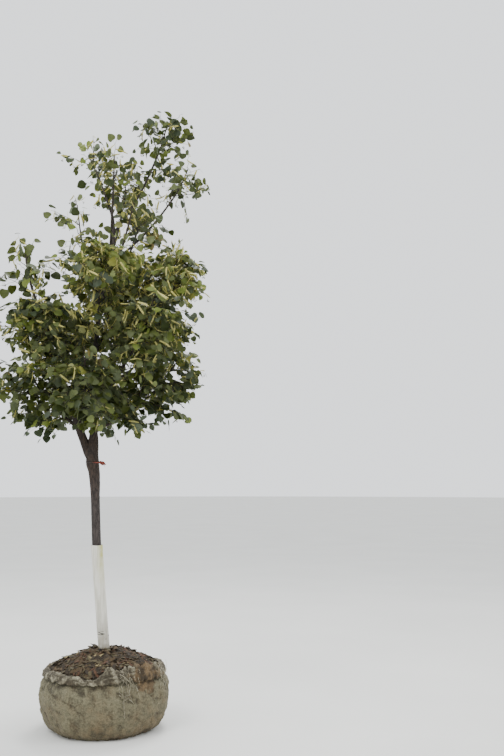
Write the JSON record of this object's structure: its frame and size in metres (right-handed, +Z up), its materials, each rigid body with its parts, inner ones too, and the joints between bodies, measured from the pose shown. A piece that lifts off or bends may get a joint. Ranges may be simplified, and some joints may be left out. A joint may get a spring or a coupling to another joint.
{
  "type": "linden tree",
  "caption": "Young nursery linden on a burlap root ball: leaning forked trunk in a white guard, tapering boughs, open oval crown of heart-shaped leaves.",
  "frame": {"origin": "middle of the root ball's flat underside, on the surface that the tree stands on", "axes": "+Z up the trunk, -Y towards the side that the picture shows, +X to the right in it"},
  "size_m": [1.6272, 1.5083, 4.5211],
  "materials": {
    "burlap_ball": "packed mineral soil wrapped in weathered grey-tan burlap, matte and coarse woven",
    "mulch": "loose shredded bark, dark red-brown, matte",
    "burlap": "rolled weathered burlap, matte and coarse woven",
    "trunk_bark": "thin furrowed grey-brown bark, matte",
    "bough_bark": "smooth grey-brown young bark, matte",
    "foliage": "thin satin leaves, dark green with yellow-green bracts",
    "guard_plastic": "thin off-white plastic sleeve, satin",
    "tape": "thin orange-red plastic ribbon"
  },
  "bodies": {
    "root": {"root_ball": "burlap_ball", "bark_mulch": "mulch", "burlap_rim": "burlap", "trunk": "trunk_bark", "left_stem": "bough_bark", "bough_skirt_1": "bough_bark", "bough_skirt_2": "bough_bark", "bough_skirt_3": "bough_bark", "bough_skirt_4": "bough_bark", "bough_lower_1": "bough_bark", "bough_lower_2": "bough_bark", "bough_lower_3": "bough_bark", "bough_lower_4": "bough_bark", "bough_middle_1": "bough_bark", "bough_middle_2": "bough_bark", "bough_middle_3": "bough_bark", "bough_upper_1": "bough_bark", "bough_upper_2": "bough_bark", "bough_upper_3": "bough_bark", "bough_high_1": "bough_bark", "bough_high_2": "bough_bark", "bough_high_3": "bough_bark", "bough_top": "bough_bark", "foliage_skirt_1": "foliage", "foliage_skirt_2": "foliage", "foliage_skirt_3": "foliage", "foliage_skirt_4": "foliage", "foliage_lower_1": "foliage", "foliage_lower_2": "foliage", "foliage_lower_3": "foliage", "foliage_lower_4": "foliage", "foliage_middle_1": "foliage", "foliage_middle_2": "foliage", "foliage_middle_3": "foliage", "foliage_upper_1": "foliage", "foliage_upper_2": "foliage", "foliage_upper_3": "foliage", "foliage_high_1": "foliage", "foliage_high_2": "foliage", "foliage_high_3": "foliage", "foliage_crest": "foliage", "foliage_top": "foliage", "foliage_leader": "foliage", "trunk_guard": "guard_plastic", "flag_tape": "tape"}
  },
  "joints": []
}
